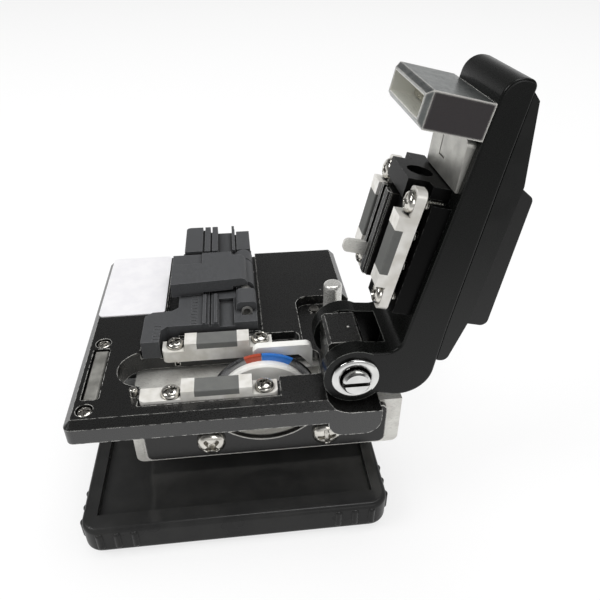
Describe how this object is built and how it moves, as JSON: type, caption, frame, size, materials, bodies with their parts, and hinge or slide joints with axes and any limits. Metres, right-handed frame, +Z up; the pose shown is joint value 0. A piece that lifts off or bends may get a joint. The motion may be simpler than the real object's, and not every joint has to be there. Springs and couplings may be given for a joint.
{
  "type": "fibre cleaver",
  "caption": "Benchtop optical fibre cleaver: tray base, raised deck, sliding blade carriage, hinged lid with clamps, anvil and magnetic catch, fibre adapter.",
  "frame": {"origin": "middle of the flat underside of the rubber mat that the base rests on", "axes": "+Z up, +X from the user's side towards the lid hinge, +Y from the front (carriage side) to the back (fibre adapter)"},
  "size_m": [0.0867, 0.0765, 0.0935],
  "materials": {
    "base_plastic": "semi-gloss black moulded plastic",
    "rubber": "matte black rubber",
    "screw_steel": "bright nickel-plated steel",
    "black_casting": "satin black finish on aluminium",
    "rail_steel": "ground stainless steel",
    "carriage_metal": "satin nickel-plated metal",
    "black_plate": "black anodised, satin",
    "blade_steel": "dark ground carbide wheel",
    "deck_anodised": "black anodised aluminium, fine bead-blast",
    "yoke_steel": "brushed steel",
    "label_silver": "plain pale silver label foil",
    "clamp_metal": "satin nickel-plated metal",
    "pad_rubber": "dark grey rubber",
    "adapter_plastic": "matte dark grey filled nylon",
    "chrome_pin": "polished chrome",
    "spring_steel": "drawn spring wire",
    "lid_black": "satin black finish on aluminium",
    "cover_plastic": "semi-gloss black moulded plastic",
    "press_rubber": "matte black soft-touch plastic",
    "magnet_nickel": "nickel-plated magnet",
    "light_grey": "satin light grey metal",
    "lip_white": "white ceramic"
  },
  "bodies": {
    "root": {"adapter_body": "adapter_plastic", "adapter_magnet": "yoke_steel", "adapter_pin": "chrome_pin", "base_cover": "base_plastic", "base_screws": "screw_steel", "base_shell": "base_plastic", "button_spring": "spring_steel", "deck_plate": "deck_anodised", "deck_studs": "screw_steel", "far_lower_holder": "clamp_metal", "far_lower_pad": "pad_rubber", "frame_block": "black_casting", "hinge_pin": "chrome_pin", "keeper_bar": "yoke_steel", "keeper_screws": "screw_steel", "label_plate": "label_silver", "linear_rail": "rail_steel", "lower_clamp_screws": "screw_steel", "near_lower_holder": "clamp_metal", "near_lower_pad": "pad_rubber", "rail_screws": "screw_steel", "rubber_mat": "rubber", "stop_pin": "screw_steel"},
    "lid": {"lid_frame": "lid_black", "lid_cover": "cover_plastic", "press_pad": "press_rubber", "near_bush": "chrome_pin", "far_bush": "chrome_pin", "magnet_yoke": "yoke_steel", "catch_magnet": "magnet_nickel", "inner_plate": "light_grey", "clamp_mount": "black_casting", "mount_screws": "screw_steel", "upper_clamp_screws": "screw_steel", "clamp_springs": "spring_steel", "anvil_spring": "spring_steel"},
    "near_clamp": {"near_upper_holder": "clamp_metal", "near_upper_pad": "pad_rubber"},
    "far_clamp": {"far_upper_holder": "clamp_metal", "far_upper_pad": "pad_rubber"},
    "anvil": {"anvil_body": "black_plate", "anvil_lips": "lip_white", "anvil_tongue": "carriage_metal"},
    "carriage": {"carriage_body": "carriage_metal", "carriage_plate": "black_plate", "carriage_screws": "screw_steel", "blade_guard": "carriage_metal", "blade_axle": "screw_steel", "slider_block": "rail_steel"},
    "blade": {"blade_wheel": "blade_steel", "blade_flange": "carriage_metal", "blade_hub": "black_plate"},
    "adapter_flap": {"adapter_flap": "adapter_plastic"},
    "lock_button": {"lock_button": "chrome_pin"}
  },
  "joints": [
    {"name": "lid_hinge", "type": "hinge", "parent": "root", "child": "lid", "pos_m": [0.02455, -0.0177, 0.0383], "axis": [0, 1, 0], "range_deg": [-102.8, 0]},
    {"name": "carriage_slide", "type": "slide", "parent": "root", "child": "carriage", "axis": [1, 0, 0], "range_m": [-0.019, 0]},
    {"name": "blade_turn", "type": "hinge", "parent": "carriage", "child": "blade", "pos_m": [0.00725, -0.0147, 0.0246], "axis": [0, 1, 0], "continuous": true},
    {"name": "near_clamp_press", "type": "slide", "parent": "lid", "child": "near_clamp", "axis": [0.9751, 0, -0.2215], "range_m": [0, 0.0008], "stiffness_N_per_m": 900, "springref_m": -0.0008},
    {"name": "far_clamp_press", "type": "slide", "parent": "lid", "child": "far_clamp", "axis": [0.9751, 0, -0.2215], "range_m": [0, 0.0008], "stiffness_N_per_m": 900, "springref_m": -0.0008},
    {"name": "anvil_press", "type": "slide", "parent": "lid", "child": "anvil", "axis": [0.9751, 0, -0.2215], "range_m": [0, 0.0012], "stiffness_N_per_m": 500, "springref_m": -0.001},
    {"name": "flap_hinge", "type": "hinge", "parent": "root", "child": "adapter_flap", "pos_m": [0.00465, 0.0153, 0.0364], "axis": [0, 1, 0], "range_deg": [0, 100]},
    {"name": "button_press", "type": "slide", "parent": "root", "child": "lock_button", "axis": [0, 0, -1], "range_m": [0, 0.002], "stiffness_N_per_m": 400, "springref_m": -0.001, "deforming": ["button_spring"]}
  ]
}
